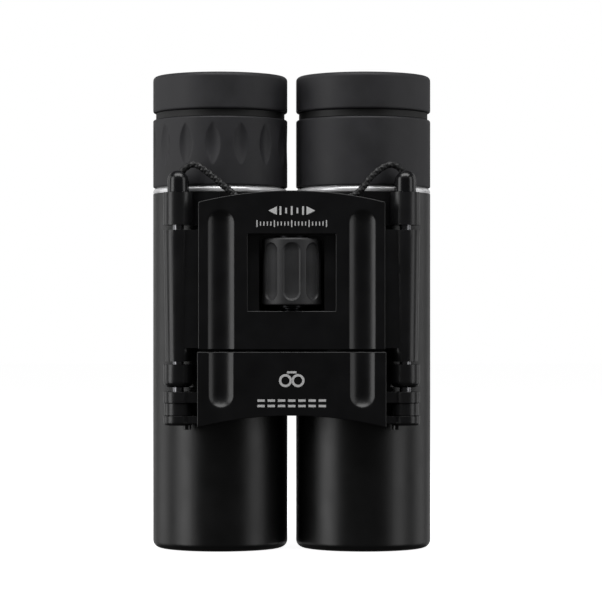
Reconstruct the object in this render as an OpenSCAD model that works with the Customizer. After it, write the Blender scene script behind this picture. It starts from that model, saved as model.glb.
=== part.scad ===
// Folding compact binoculars, 10x25, standing on their objective rims.
// +Z runs up the barrels to the eyecups, -Y is the side of the covers and the focus wheel.
// "Left" and "right" are as seen from the cover side: left is -X, right is +X.

/* [Barrels] */
// Outside diameter of a barrel
barrel_d = 32; // [28:0.5:40]
// Gap between the folded barrels
barrel_gap = 2.1; // [1.9:0.1:6]
// Length of the barrel tube
barrel_len = 84.1; // [78:0.1:110]
// Wall of the barrel tube
barrel_wall = 1.3; // [1:0.1:2]
// Radius of the outer edge at the objective rim
rim_round = 1.8; // [0.5:0.1:2]
// How far the rim's lip reaches inward from the bore
rim_lip = 1.3; // [1:0.1:1.8]
// Height of the rim's lip
rim_lip_h = 3; // [2:0.5:4]

/* [Eyepiece end] */
// Height of the bright ring above the tube
trim_h = 1.4; // [0.8:0.1:2.5]
// Height of the eyepiece ring (the dioptre ring on the left)
ring_h = 16.2; // [12:0.1:24]
// Wall of the eyepiece ring
ring_wall = 1.4; // [1.2:0.1:2]
// Height of the groove under the eyecup
groove_h = 1.6; // [1:0.1:3]
// Depth of the groove
groove_depth = 0.68; // [0.4:0.02:1]
// Height of the eyecup
eyecup_h = 8.7; // [7:0.1:14]
// Radius of the eyecup's top edge
eyecup_round = 1; // [0.4:0.1:1.5]
// Travel of the eyecup when it is pulled up
eyecup_travel = 6; // [3:0.5:8]
// Wall of the ocular body
body_wall = 1.15; // [1:0.05:1.6]
// Wall of the sleeve in the eyecup
sleeve_wall = 0.95; // [0.8:0.05:1.2]
// Wall of the tube that guides the ocular cell
guide_wall = 1.1; // [0.8:0.1:1.5]
// Diameter of the eye lens and of the field lens
ocular_lens_d = 17.6; // [14:0.2:18.4]
// Number of thumb dimples around the dioptre ring
dimples = 15; // [8:1:16]
// Width, height and depth of a dimple
dimple_w = 3.2; // [2:0.1:4]
dimple_h = 10; // [6:0.5:11]
dimple_depth = 0.5; // [0.3:0.05:0.8]

/* [Objective end] */
// Height of the objective cell's foot above the rim
cell_z = 8; // [7:0.5:10]
// Length of the objective cell
cell_h = 26.4; // [24:0.1:27]
// Diameter of the objective lens
objective_d = 26.4; // [25:0.1:26.8]
// Free aperture of the objective
aperture_d = 25; // [22:0.1:26]
// Travel of the lower bridge and the objectives in focusing
focus_travel = 4; // [2:0.5:4.5]

/* [Prisms] */
// Aperture of the roof prisms
prism_w = 13; // [10:0.5:14]
// Height of the prism cage
cage_h = 30; // [29:0.5:32]

/* [Hinges] */
// Diameter of the hinge knuckles
knuckle_d = 6.9; // [6:0.1:8.5]
// Diameter of the hinge pins
pin_d = 2.6; // [2:0.1:3.2]
// Sideways distance from a barrel's axis to its hinge axis
hinge_dx = 9.3; // [8:0.1:11]
// Gap between a knuckle and the barrel beside it
knuckle_gap = 0.15; // [0.1:0.05:0.4]
// Height of the lowest ear above the rims
ears_z = 29.6; // [28:0.1:32]
// Height of the lower bridge's bottom ear
low_ear_h = 2.2; // [1.5:0.1:3]
// Height of the focus arm's eye
eye_h = 3; // [2:0.1:4]
// Height of the lower bridge's top ear
high_ear_h = 2.5; // [1.5:0.1:3.5]
// Gap above the lower bridge's ears
ears_gap = 1.05; // [0.3:0.05:2]
// Height of the bracket's lower knuckle
low_knuckle_h = 5.3; // [4:0.1:7]
// Gap below the upper bridge's long knuckle
long_gap_low = 0.7; // [0.2:0.1:1.5]
// Gap above the upper bridge's long knuckle, where the pin shows
long_gap_high = 1.2; // [0.2:0.1:2]
// Height of the bracket's upper knuckle
high_knuckle_h = 7.6; // [5:0.1:9]
// How much the long knuckle narrows towards its foot
long_taper = 0.5; // [0:0.1:1]
// Thickness of the bracket's saddle on the barrel
saddle_t = 1; // [0.8:0.1:1.2]
// Diameter and height of the strap caps
cap_d = 5.05; // [4.4:0.05:6]
cap_h = 5.1; // [4.5:0.1:6]

/* [Bridge] */
// Distance from a hinge axis to the cover's side
cover_side = 4.81; // [4.2:0.05:6]
// How far the covers' face stands in front of the hinge axes
cover_proud = 5.25; // [5:0.05:7]
// Radius of the covers' arched edges
arch_r = 89; // [70:1:140]
// Height of the split between the covers above the lower ears
split_rise = 17.1; // [16:0.1:20]
// Gap between the covers
split_gap = 0.56; // [0.3:0.02:1]
// Height of the lower cover's edge above the lower ears, at the middle
low_edge_rise = 2.4; // [1:0.1:4]
// How much wider each side of the lower cover is
low_cover_extra = 0.25; // [0:0.05:0.3]
// Width of the window and its height above and below the wheel
window_w = 20.3; // [18:0.1:22]
window_above = 0.9; // [0.5:0.1:2]
window_below = 1.4; // [0.5:0.1:3]
// Thickness of the cover's front wall
cover_wall = 1.3; // [1:0.1:1.6]
// Distance of the finger channels from the middle
channel_x = 16.3; // [14.5:0.1:17]
// Width of the finger channels in the upper and the lower cover
channel_w = 6.05; // [5:0.05:6.4]
channel_w_low = 5.65; // [4.5:0.05:6]
// Depth of the finger channels
channel_depth = 1.1; // [0.6:0.1:1.6]
// Thickness of the bridge frames
frame_t = 1.75; // [1.5:0.05:1.9]

/* [Focus wheel] */
// Diameter of the wheel
wheel_d = 13.5; // [12:0.1:17]
// How far the wheel stands out of the cover
wheel_proud = 0.75; // [0.4:0.05:1.5]
// Distance from the top of the barrel tube to the top of the wheel
wheel_drop = 11.1; // [11:0.1:13]
// Length of the wheel
wheel_len = 15.5; // [12:0.1:16]
// Least gap between the wheel and the barrels
wheel_gap = 0.9; // [0.5:0.05:1.5]
// Number of flutes around the wheel
flutes = 8; // [6:1:8]
// Depth of a flute
flute_depth = 0.75; // [0.4:0.05:0.9]
// Angle that a flute spans
flute_angle = 38; // [25:1:40]
// Distance from a flute's end to the wheel's end
flute_end = 1; // [0.6:0.1:2]
// Diameter of the focus screw
screw_d = 4.8; // [4:0.1:5.5]
// Across flats of the focus nut
nut_af = 6.6; // [6.2:0.1:7]

/* [Strap cord] */
// Diameter of the cord
cord_d = 1.6; // [1.2:0.1:2]

/* [Hidden] */
$fn = 96;
left = -1;
right = 1;
// Radial clearance of everything that slides or turns, and the gap between moving faces
slip = 0.05;
face_gap = 0.1;
// Radial clearance around the focus screw where nothing bears on it
screw_gap = 0.2;

barrel_r = barrel_d / 2;
barrel_x = (barrel_d + barrel_gap) / 2;
bore_r = barrel_r - barrel_wall;
knuckle_r = knuckle_d / 2;
pin_r = pin_d / 2;
screw_r = screw_d / 2;
wheel_r = wheel_d / 2;
cord_r = cord_d / 2;

// Hinge axis, seen from the barrel's axis
hinge_dist = barrel_r + knuckle_r + knuckle_gap;
hinge_x = barrel_x + hinge_dx;
hinge_y = -sqrt(pow(hinge_dist, 2) - pow(hinge_dx, 2));
hinge_a = atan2(hinge_y, hinge_dx);

// How far the bridge frames' front lies in front of the hinge axes
plate_set = 2.6;
// The covers' face is in front of the hinges, and far enough for the wheel to clear the barrels
wheel_nearest_y = -sqrt(pow(barrel_r + wheel_r + wheel_gap, 2) - pow(barrel_x, 2));
face_y = min(hinge_y - cover_proud, wheel_nearest_y - wheel_r + wheel_proud);
wheel_y = face_y + wheel_r - wheel_proud;
plate_front = hinge_y - plate_set;
plate_back = plate_front + frame_t;
cover_back = plate_front - slip;

// The whole part is centred between the wheel's front and the barrels' backs
barrel_y = (-(wheel_y - wheel_r) - barrel_r) / 2;

// Heights along a hinge, from the lower ears up and from the tube's top down
low_ear_top = ears_z + low_ear_h;
eye_bottom = low_ear_top + slip;
eye_top = eye_bottom + eye_h;
high_ear_bottom = eye_top + slip;
high_ear_top = high_ear_bottom + high_ear_h;
low_knuckle_z = high_ear_top + ears_gap;
low_knuckle_top = low_knuckle_z + low_knuckle_h;
high_knuckle_top = barrel_len - 0.4;
high_knuckle_z = high_knuckle_top - high_knuckle_h;
long_z = low_knuckle_top + long_gap_low;
long_top = high_knuckle_z - long_gap_high;
cap_z = high_knuckle_top + face_gap;
// The pins stand in the lowest ears, and reach into the caps
pin_z = ears_z + 0.6;
cap_grip = 0.9;

// Heights of the eyepiece end
ring_z = barrel_len + trim_h;
groove_z = ring_z + ring_h;
eyecup_z = groove_z + groove_h;
total_h = eyecup_z + eyecup_h;

// Radii of the eyepiece end, from the outside in
ring_in_r = barrel_r - ring_wall;
body_r = ring_in_r - slip;
body_in_r = body_r - body_wall;
sleeve_r = body_in_r - slip;
sleeve_in_r = sleeve_r - sleeve_wall;
guide_r = sleeve_in_r - 0.2;
guide_in_r = guide_r - guide_wall;
ocular_r = guide_in_r - slip;
ocular_flange_r = sleeve_in_r - 0.2;
body_floor_z = barrel_len + 2.2;
guide_top = groove_z - 3.7;
ocular_z = body_floor_z + 1.4;
ocular_top = total_h - 5;

// Bridge heights
cover_half = hinge_x - cover_side;
split_z = ears_z + split_rise;
cover_z = split_z + split_gap;
cover_top = barrel_len - 0.2;
low_cover_z = ears_z + low_edge_rise;
wheel_top = barrel_len - wheel_drop;
wheel_z = wheel_top - wheel_len;
frame_top = wheel_top + 3.8;
frame_z = cover_z + 0.3;
low_frame_top = split_z - 0.5;
low_bearing_top = wheel_z - 3;
screw_tip = ears_z + 3.4;
cell_r = bore_r - slip;
arm_w = 3;
hub_r = 5;
bracket_foot = 1.4;
cage_top = barrel_len - 8.1;
screw_at_x = 12;

// The hollow behind each cover: its half width, and the rims left below, above and at the arch
hollow_half = 12.2;
hollow_rim = 1.2;
hollow_arch_rim = 2.2;
// Bearing blocks of the upper frame, and the block that holds the nut in the lower one
bearing_half = 4.2;
bearing_depth = wheel_y + 3.4 - plate_front;
nut_block_half = 5;
nut_block_depth = wheel_y + 4.2 - plate_front;
nut_block_h = 10;
nut_pocket_h = 8;
nut_h = 7.6;
// Radii of the drive's bush, its top journal, its spindle and its collars
bush_r = 2.2;
journal_r = 1.4;
spindle_r = 1.5;
washer_r = 3.8;
collar_r = 3.2;
collar_h = 0.6;
// Lens seats: the stop's radius, the pockets' depths, and the room left for a lens's curve
ocular_stop_r = 8;
body_floor_in_r = 9.6;
field_pocket = 3.5;
eye_pocket = 4;
lens_relief = 0.2;
field_edge = 2.1;
objective_edge = 3.2;
lens_seat_z = cell_z + 5.4;
retainer_h = 1.6;
// Prism cage: half length of the prisms' slot and the thickness of its end plates
slot_half = 9.7;
cage_plate = 1.5;

// Outline of a round stretch, from angle a to angle b
function arc(centre, r, a, b, n = 8) =
    [for (i = [0:n]) centre + r * [cos(a + (b - a) * i / n), sin(a + (b - a) * i / n)]];

// ---- Places ----
module placed() translate([0, barrel_y, 0]) children();
module to_side(s) {
    if (s == left) mirror([1, 0, 0]) children();
    else children();
}
module on_side(s) placed() to_side(s) children();
module at_barrel() translate([barrel_x, 0, 0]) children();
module at_hinge(z = 0) translate([hinge_x, hinge_y, z]) children();
module at_wheel(z = 0) translate([0, wheel_y, z]) children();
module both_sides() for (s = [left, right]) to_side(s) children();

// ---- Shapes that repeat ----
// A slab whose outline is drawn in the XZ plane, between two depths
module slab(front, back)
    translate([0, back, 0]) rotate([90, 0, 0]) linear_extrude(back - front) children();
module tube(r_out, r_in, h)
    difference() {
        cylinder(r = r_out, h = h);
        translate([0, 0, -1]) cylinder(r = r_in, h = h + 2);
    }
module pin_bore(z, h, r) at_hinge(z - 1) cylinder(r = r, h = h + 2);
// A knuckle whose foot is rounded
module round_foot_knuckle(z, h, foot)
    at_hinge(z) rotate_extrude()
        polygon(concat([[0, 0]], arc([knuckle_r - foot, foot], foot, -90, 0, 6),
                       [[knuckle_r, h], [0, h]]));
// A lens with two equal round faces, its foot's edge at z = 0
module lens(d, edge, sag) {
    ball_r = (pow(d / 2, 2) + pow(sag, 2)) / (2 * sag);
    intersection() {
        translate([0, 0, -sag]) cylinder(d = d, h = edge + 2 * sag);
        translate([0, 0, edge + sag - ball_r]) sphere(r = ball_r, $fn = 200);
        translate([0, 0, ball_r - sag]) sphere(r = ball_r, $fn = 200);
    }
}
// A round-ended channel cut into the covers' face, between two heights
module channel(x, w, low, high) {
    cut_r = (pow(w / 2, 2) + pow(channel_depth, 2)) / (2 * channel_depth);
    cut_y = face_y - (cut_r - channel_depth);
    translate([x, cut_y, low]) cylinder(r = cut_r, h = high - low);
}
module channel_end(x, w, z) {
    cut_r = (pow(w / 2, 2) + pow(channel_depth, 2)) / (2 * channel_depth);
    translate([x, face_y - (cut_r - channel_depth), z]) sphere(r = cut_r);
}
// A countersunk screw that points to -Y, its head's face at y = 0
module small_screw(length) rotate([90, 0, 0]) {
    translate([0, 0, -0.6]) cylinder(r = 1.7, h = 0.6);
    cylinder(r = 0.9, h = length);
}

// ---- Barrels ----
module barrel_tube(s)
    color("#141416") on_side(s) difference() {
        at_barrel() rotate_extrude()
            polygon(concat([[bore_r - rim_lip, 0]],
                           arc([barrel_r - rim_round, rim_round], rim_round, -90, 0),
                           [[barrel_r, barrel_len], [bore_r, barrel_len],
                            [bore_r, rim_lip_h], [bore_r - rim_lip, rim_lip_h]]));
        at_barrel() rotate([0, 0, hinge_a])
            translate([bore_r - 1, -arm_w / 2 - 0.3, eye_bottom - focus_travel - 0.3])
                cube([barrel_wall + 2, arm_w + 0.6, eye_h + focus_travel + 0.6]);
    }

module hinge_bracket(s)
    color("#18181a") on_side(s) difference() {
        union() {
            translate([0, 0, low_knuckle_z]) linear_extrude(low_knuckle_h) bracket_outline();
            translate([0, 0, low_knuckle_top])
                linear_extrude(high_knuckle_z - low_knuckle_top) difference() {
                    saddle_outline(5.1);
                    barrel_circle(barrel_r);
                }
            translate([0, 0, high_knuckle_z]) linear_extrude(high_knuckle_h) bracket_outline();
        }
        // Rounds the foot of the lower knuckle
        at_hinge(low_knuckle_z) rotate_extrude()
            polygon(concat([[knuckle_r + 0.1, -1], [knuckle_r + 0.1, bracket_foot]],
                           arc([knuckle_r - bracket_foot, bracket_foot], bracket_foot, 0, -90, 6),
                           [[knuckle_r - bracket_foot, -1]]));
    }
module barrel_circle(r) translate([barrel_x, 0]) circle(r = r);
module hinge_circle(r) translate([hinge_x, hinge_y]) circle(r = r);
// An arm to the hinge, seen from above: an eye and a neck, with what children() adds
module arm_outline(eye_r, neck_w, inner_r)
    difference() {
        union() {
            hinge_circle(eye_r);
            translate([barrel_x, 0]) rotate(hinge_a) translate([inner_r - 1, -neck_w / 2])
                square([hinge_dist - inner_r - pin_r, neck_w]);
            children();
        }
        barrel_circle(inner_r);
        hinge_circle(pin_r + slip);
    }
module bracket_outline() arm_outline(knuckle_r, 4.8, barrel_r) saddle_outline(1);
// The part of the bracket that lies on the barrel, short of the hinge by a distance
module saddle_outline(short)
    intersection() {
        barrel_circle(barrel_r + saddle_t);
        translate([barrel_x - 0.3, -barrel_d]) square([hinge_dx + 0.3 - short, barrel_d]);
    }

module trim_ring(s)
    color("#d8d8dc") on_side(s) at_barrel() translate([0, 0, barrel_len])
        tube(barrel_r, body_r, trim_h);

// ---- Eyepieces ----
module ocular_body(s)
    color("#1c1c1e") on_side(s) at_barrel() rotate_extrude()
        polygon([[body_floor_in_r, barrel_len - 5], [cell_r, barrel_len - 5], [cell_r, barrel_len],
                 [body_r, barrel_len], [body_r, groove_z],
                 [barrel_r - groove_depth, groove_z], [barrel_r - groove_depth, eyecup_z],
                 [body_in_r, eyecup_z], [body_in_r, body_floor_z], [guide_r, body_floor_z],
                 [guide_r, guide_top], [guide_in_r, guide_top], [guide_in_r, body_floor_z],
                 [body_floor_in_r, body_floor_z]]);

module ring_blank()
    at_barrel() rotate_extrude()
        polygon([[ring_in_r, ring_z + slip], [barrel_r, ring_z + slip],
                 [barrel_r, groove_z - slip - 0.3], [barrel_r - 0.3, groove_z - slip],
                 [ring_in_r, groove_z - slip]]);

module eyepiece_ring()
    color("#2c2c2e") on_side(right) ring_blank();

module dioptre_ring() {
    lens_r = (pow(dimple_h, 2) + pow(dimple_w, 2)) / (4 * dimple_w);
    color("#2c2c2e") on_side(left) difference() {
        ring_blank();
        for (i = [0:dimples - 1])
            at_barrel() translate([0, 0, (ring_z + groove_z) / 2 + 1.5])
                rotate([0, 0, -90 + (i - 0.2) * 360 / dimples]) rotate([90, 0, 90])
                    translate([0, 0, barrel_r - dimple_depth]) linear_extrude(3)
                        intersection() {
                            translate([lens_r - dimple_w / 2, 0]) circle(r = lens_r);
                            translate([dimple_w / 2 - lens_r, 0]) circle(r = lens_r);
                        }
    }
}

module ocular_cell(s)
    color("#161618") on_side(s) at_barrel() rotate_extrude()
        polygon([[ocular_stop_r, ocular_z + field_pocket],
                 [ocular_lens_d / 2, ocular_z + field_pocket],
                 [ocular_lens_d / 2, ocular_z], [ocular_r, ocular_z],
                 [ocular_r, ocular_top - 2], [ocular_flange_r, ocular_top - 2],
                 [ocular_flange_r, ocular_top], [ocular_lens_d / 2, ocular_top],
                 [ocular_lens_d / 2, ocular_top - eye_pocket],
                 [ocular_stop_r, ocular_top - eye_pocket]]);

module field_lens(s)
    color("#9fc0c8") on_side(s) at_barrel()
        translate([0, 0, ocular_z + field_pocket - field_edge - lens_relief])
            lens(ocular_lens_d, field_edge, 0.9);

module eye_lens(s)
    color("#9fc0c8") on_side(s) at_barrel() translate([0, 0, ocular_top - eye_pocket])
        intersection() {
            cylinder(d = ocular_lens_d, h = 6);
            translate([0, 0, -0.8]) lens(ocular_lens_d, 3.6, 1);
        }

module eyecup(s)
    color("#303032") on_side(s) at_barrel() rotate_extrude()
        polygon(concat([[sleeve_r, eyecup_z + slip], [barrel_r - 0.3, eyecup_z + slip],
                        [barrel_r, eyecup_z + slip + 0.3]],
                       arc([barrel_r - eyecup_round, total_h - eyecup_round], eyecup_round, 0, 90, 6),
                       [[sleeve_in_r + 0.8, total_h], [sleeve_in_r, total_h - 0.8],
                        [sleeve_in_r, total_h - 2], [sleeve_r, total_h - 2]]));

module eyecup_sleeve(s)
    color("#202022") on_side(s) at_barrel()
        translate([0, 0, guide_top - eyecup_travel])
            tube(sleeve_r, sleeve_in_r, total_h - 2 - guide_top + eyecup_travel);

// ---- Prisms ----
module prism_cage(s)
    color("#3a3a3e") on_side(s) at_barrel() translate([0, 0, cage_top - cage_h]) difference() {
        cylinder(r = cell_r, h = cage_h);
        translate([-slot_half, -prism_w / 2, cage_plate])
            cube([2 * slot_half, prism_w, cage_h - 2 * cage_plate]);
        translate([0, 0, -1]) cylinder(r = prism_w / 2 - 0.5, h = cage_h + 2);
    }
// Each prism stands in the cage; its cross-section is drawn in the XZ plane
module in_cage(s) on_side(s) at_barrel() translate([0, 0, cage_top - cage_h + cage_plate]) children();
module lower_prism(s)
    color("#a8ccd4") in_cage(s) slab(-prism_w / 2, prism_w / 2)
        polygon([[-6.5, 0], [6.5, 0], [9.4, 3.2], [-6.5, 19.1]]);
module roof_prism(s)
    color("#a8ccd4") in_cage(s) intersection() {
        slab(-prism_w / 2, prism_w / 2)
            polygon([[9.4, 4.1], [9.4, 20], [6.5, 27], [-6.5, 27], [-6.5, 20]]);
        translate([9.4, 0, 0]) rotate([0, 0, 135]) cube([30, 30, 30]);
    }

// ---- Objectives ----
module objective_cell(s)
    color("#161618") on_side(s) at_barrel() rotate_extrude()
        polygon([[objective_d / 2, cell_z], [cell_r, cell_z], [cell_r, cell_z + cell_h],
                 [aperture_d / 2 + 0.4, cell_z + cell_h], [aperture_d / 2, cell_z + 7],
                 [aperture_d / 2, lens_seat_z], [objective_d / 2, lens_seat_z]]);

module objective_lens(s)
    color("#8a4a5e") on_side(s) at_barrel() translate([0, 0, lens_seat_z - objective_edge])
        intersection() {
            lens(objective_d, objective_edge, 1.6);
            translate([0, 0, -2]) cylinder(d = objective_d, h = 2 + objective_edge);
        }

module objective_retainer(s)
    color("#101012") on_side(s) at_barrel()
        translate([0, 0, lens_seat_z - objective_edge - lens_relief - retainer_h])
            tube(objective_d / 2, aperture_d / 2, retainer_h);

module focus_arm(s)
    color("#26262a") on_side(s) translate([0, 0, eye_bottom]) linear_extrude(eye_h)
        arm_outline(knuckle_r - 0.25, arm_w, cell_r);

// ---- Hinge pins and strap caps ----
module hinge_pin(s)
    color("#b8b8be") on_side(s) at_hinge(pin_z) cylinder(r = pin_r, h = cap_z + cap_grip - pin_z);

module strap_cap(s)
    color("#1e1e22") on_side(s) difference() {
        union() {
            at_hinge(cap_z) cylinder(d = cap_d, h = cap_h - cap_d / 2);
            at_hinge(cap_z + cap_h - cap_d / 2) sphere(d = cap_d);
        }
        at_hinge(cap_z - 1) cylinder(r = pin_r, h = 1 + cap_grip);
        at_hinge(cap_z + cap_h / 2) translate([-cap_d, -cord_r - 0.1, 0])
            cube([cap_d + 1.2, cord_d + 0.2, cap_h]);
    }

// ---- Upper bridge ----
module hollow(low, high)
    translate([-hollow_half, face_y + cover_wall, low]) cube([2 * hollow_half, 10, high - low]);

module upper_outline(half)
    intersection() {
        translate([-half, cover_z]) square([2 * half, total_h]);
        translate([0, cover_top - arch_r]) circle(r = arch_r, $fn = 360);
    }

module bridge_cover()
    color("#101013") placed() difference() {
        slab(face_y, cover_back) upper_outline(cover_half);
        translate([-window_w / 2, face_y - 1, wheel_z - window_below])
            cube([window_w, 10, wheel_len + window_below + window_above]);
        hollow(cover_z + hollow_rim, wheel_z - window_below - hollow_rim);
        hollow(wheel_top + window_above + hollow_rim, cover_top - hollow_arch_rim);
        at_wheel(cover_z - 1) cylinder(r = screw_r + screw_gap, h = frame_top - cover_z + 1);
        both_sides() {
            channel(channel_x, channel_w, cover_z - 1, cover_top - 4.5 - channel_w / 2);
            channel_end(channel_x, channel_w, cover_top - 4.5 - channel_w / 2);
        }
        cover_screw_places() small_screw(3.2);
    }

module cover_screw_places()
    both_sides() for (z = [frame_z + 2, frame_top - 2])
        translate([screw_at_x + 0.8, plate_back, z]) children();

module bridge_frame()
    color("#1a1a1e") placed() difference() {
        union() {
            slab(plate_front, plate_back)
                translate([-cover_half + 0.6, frame_z])
                    square([2 * cover_half - 1.2, frame_top - frame_z]);
            both_sides() {
                at_hinge(long_z) cylinder(r1 = knuckle_r - long_taper, r2 = knuckle_r,
                                          h = long_top - long_z);
                translate([cover_half - 1, plate_front, frame_z])
                    cube([cover_side + 1, frame_t, long_top - frame_z]);
            }
            // Bearing blocks below and above the wheel
            translate([-bearing_half, plate_front, frame_z])
                cube([2 * bearing_half, bearing_depth, low_bearing_top - frame_z]);
            translate([-bearing_half, plate_front, wheel_top + collar_h])
                cube([2 * bearing_half, bearing_depth, frame_top - wheel_top - collar_h]);
        }
        translate([-wheel_r - 0.8, plate_front - 1, low_bearing_top])
            cube([wheel_d + 1.6, frame_t + 2, wheel_top + collar_h - low_bearing_top]);
        at_wheel(frame_z - 1) cylinder(r = screw_r + slip, h = low_bearing_top - frame_z + 2);
        at_wheel(wheel_top) cylinder(r = bush_r, h = 10);
        both_sides() pin_bore(long_z, long_top - long_z, pin_r);
        cover_screw_places() small_screw(5);
    }

module cover_screws()
    color("#8c8c92") placed() cover_screw_places() small_screw(frame_t + 1.2);

// ---- Focus drive ----
module focus_bush()
    color("#b89a52") placed() at_wheel(wheel_top + collar_h)
        tube(bush_r, journal_r + slip, frame_top - wheel_top - collar_h);

module thrust_washer()
    color("#c8c8cc") placed() at_wheel(wheel_top + slip)
        tube(washer_r, journal_r + slip, collar_h - 2 * slip);

module focus_wheel() {
    half = flute_angle / 2;
    edge = [wheel_r * cos(half), wheel_r * sin(half)];
    root = wheel_r - flute_depth;
    cut_x = (edge[0] * edge[0] + edge[1] * edge[1] - root * root) / (2 * (edge[0] - root));
    cut_r = cut_x - root;
    reach = sqrt(pow(cut_r, 2) - pow(cut_x - wheel_r, 2));
    color("#2e2e31") placed() at_wheel() difference() {
        rotate_extrude()
            polygon([[hub_r, wheel_z], [wheel_r - 0.4, wheel_z], [wheel_r, wheel_z + 0.4],
                     [wheel_r, wheel_top - 0.5], [wheel_r - 0.7, wheel_top], [hub_r, wheel_top]]);
        for (i = [0:flutes - 1]) rotate([0, 0, -90 + i * 360 / flutes]) {
            translate([cut_x, 0, wheel_z + flute_end + reach])
                cylinder(r = cut_r, h = wheel_len - 2 * flute_end - 2 * reach);
            for (z = [wheel_z + flute_end + reach, wheel_top - flute_end - reach])
                translate([cut_x, 0, z]) sphere(r = cut_r);
        }
    }
}

module wheel_hub()
    color("#222226") placed() at_wheel(wheel_z) tube(hub_r, spindle_r, wheel_len);

module focus_screw()
    color("#c4c4ca") placed() at_wheel() {
        translate([0, 0, screw_tip]) cylinder(r = screw_r, h = wheel_z - collar_h - screw_tip);
        translate([0, 0, wheel_z - collar_h]) cylinder(r = collar_r, h = collar_h);
        translate([0, 0, wheel_z]) cylinder(r = spindle_r, h = wheel_len);
        translate([0, 0, wheel_top]) cylinder(r = journal_r, h = frame_top - wheel_top - face_gap);
    }

// ---- Lower bridge ----
module low_cover()
    color("#101013") placed() difference() {
        slab(face_y, cover_back) difference() {
            half = cover_half + low_cover_extra;
            translate([-half, ears_z - 0.2]) square([2 * half, split_z - ears_z + 0.2]);
            translate([0, low_cover_z - arch_r]) circle(r = arch_r, $fn = 360);
        }
        hollow(low_cover_z + hollow_rim, split_z - hollow_rim);
        at_wheel(0) cylinder(r = screw_r + screw_gap, h = total_h);
        nut_pocket(slip);
        both_sides() {
            channel(channel_x, channel_w_low, low_cover_z + 1.9 + channel_w_low / 2, split_z + 1);
            channel_end(channel_x, channel_w_low, low_cover_z + 1.9 + channel_w_low / 2);
        }
        low_screw_places() small_screw(3.2);
    }

module low_screw_places()
    both_sides() translate([screw_at_x + 0.6, plate_back, low_knuckle_z]) children();

module low_frame()
    color("#1a1a1e") placed() difference() {
        union() {
            slab(plate_front, plate_back)
                translate([-cover_half + 0.6, low_cover_z + 0.6])
                    square([2 * cover_half - 1.2, low_frame_top - low_cover_z - 0.6]);
            both_sides() {
                round_foot_knuckle(ears_z, low_ear_h, 0.8);
                at_hinge(high_ear_bottom) cylinder(r = knuckle_r, h = high_ear_h);
                translate([cover_half - 4, plate_front, ears_z + 0.5])
                    cube([cover_side + 4, frame_t, low_ear_h - 0.5]);
                translate([cover_half - 4, plate_front, ears_z + 0.5])
                    cube([4, frame_t, 5]);
                translate([cover_half - 4, plate_front, high_ear_bottom])
                    cube([cover_side + 4, frame_t, high_ear_h]);
                // Small foot under each lower ear
                at_hinge(ears_z - 1) translate([-1.95, 0, 0]) cylinder(r = 1.05, h = 1.8);
            }
            translate([-nut_block_half, plate_front, low_frame_top - nut_block_h])
                cube([2 * nut_block_half, nut_block_depth, nut_block_h]);
        }
        at_wheel(0) cylinder(r = screw_r + screw_gap, h = total_h);
        nut_pocket(0);
        both_sides() pin_bore(ears_z, high_ear_top - ears_z, pin_r + slip);
        low_screw_places() small_screw(5);
    }

module low_screws()
    color("#8c8c92") placed() low_screw_places() small_screw(frame_t + 1.2);

// A hexagon about the wheel's axis, from the nut's foot up
module nut_hexagon(h, gap)
    at_wheel(low_frame_top - nut_pocket_h) cylinder(d = (nut_af + 2 * gap) / cos(30), h = h, $fn = 6);
module nut_pocket(gap) nut_hexagon(20, gap);

module focus_nut()
    color("#b89a52") placed() difference() {
        nut_hexagon(nut_h, 0);
        at_wheel(0) cylinder(r = screw_r + slip, h = total_h);
    }

// ---- Strap cord ----
// Each end leaves its cap, dips behind the cover, passes back between the barrels and
// hangs down the valley behind the right barrel to the coil on the floor. Heights are from
// the rims, depths from the barrels' axes.
left_route = [
    [-26.4, -17.3, 87.6], [-25.4, -17.5, 88.6], [-24, -17.9, 89.8], [-22.4, -18.2, 90.1],
    [-20.4, -18.5, 89], [-17.4, -18.8, 86.6], [-14, -19, 83.7], [-10.6, -19, 81.2],
    [-7, -18.8, 79.8], [-4, -17.8, 79.4], [-1.8, -15.8, 79.4], [-0.4, -12.8, 79.4],
    [0, -9, 79.4], [0, 0, 79.4], [0.2, 5, 79.3], [1, 8.4, 78.6], [2.2, 10.6, 76.6],
    [3, 11.6, 73.6], [3.4, 11.9, 69], [3.4, 11.9, 50], [3.4, 11.9, 28], [3.4, 11.9, 9],
    [3.6, 12.6, 5], [4.2, 14.8, 2], [5.2, 18, 0.8], [5.8, 22, 0.8], [5.9, 26, 0.8]];
right_route = [
    [26.4, -17.3, 87.6], [25.8, -17.2, 88.6], [24.6, -17.3, 89.7], [22.8, -17.7, 90.1],
    [20.4, -18.1, 89], [18, -18.6, 86.8], [16.2, -18.9, 84.4], [13.4, -19.1, 82.4],
    [10, -19, 81.6], [7, -18.8, 81.4], [4, -17.8, 81.4], [1.8, -15.8, 81.4], [0.4, -12.8, 81.4],
    [0, -9, 81.4], [0, 0, 81.4], [0.2, 6, 81.3], [1.2, 9.8, 80.6], [3, 12.4, 78.4],
    [4.6, 13.6, 75], [5.2, 13.9, 70], [5.2, 13.9, 50], [5.2, 13.9, 28], [5.2, 13.9, 16],
    [5.3, 14.4, 11.6], [6, 16.4, 8.2], [8, 18.9, 6.4], [11.4, 20.2, 5.7], [15, 20.5, 5.6]];
// Coil on the floor: its middle, the mean radius of its turns, turns across and layers
coil_at = [17, 31.5, 0];
coil_mid_r = 9.4;
coil_turns = 3;
coil_layers = 4;
coil_w = coil_turns * cord_d;
coil_h = coil_layers * cord_d;
tie_t = 0.5;
tie_w = 3;

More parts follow.
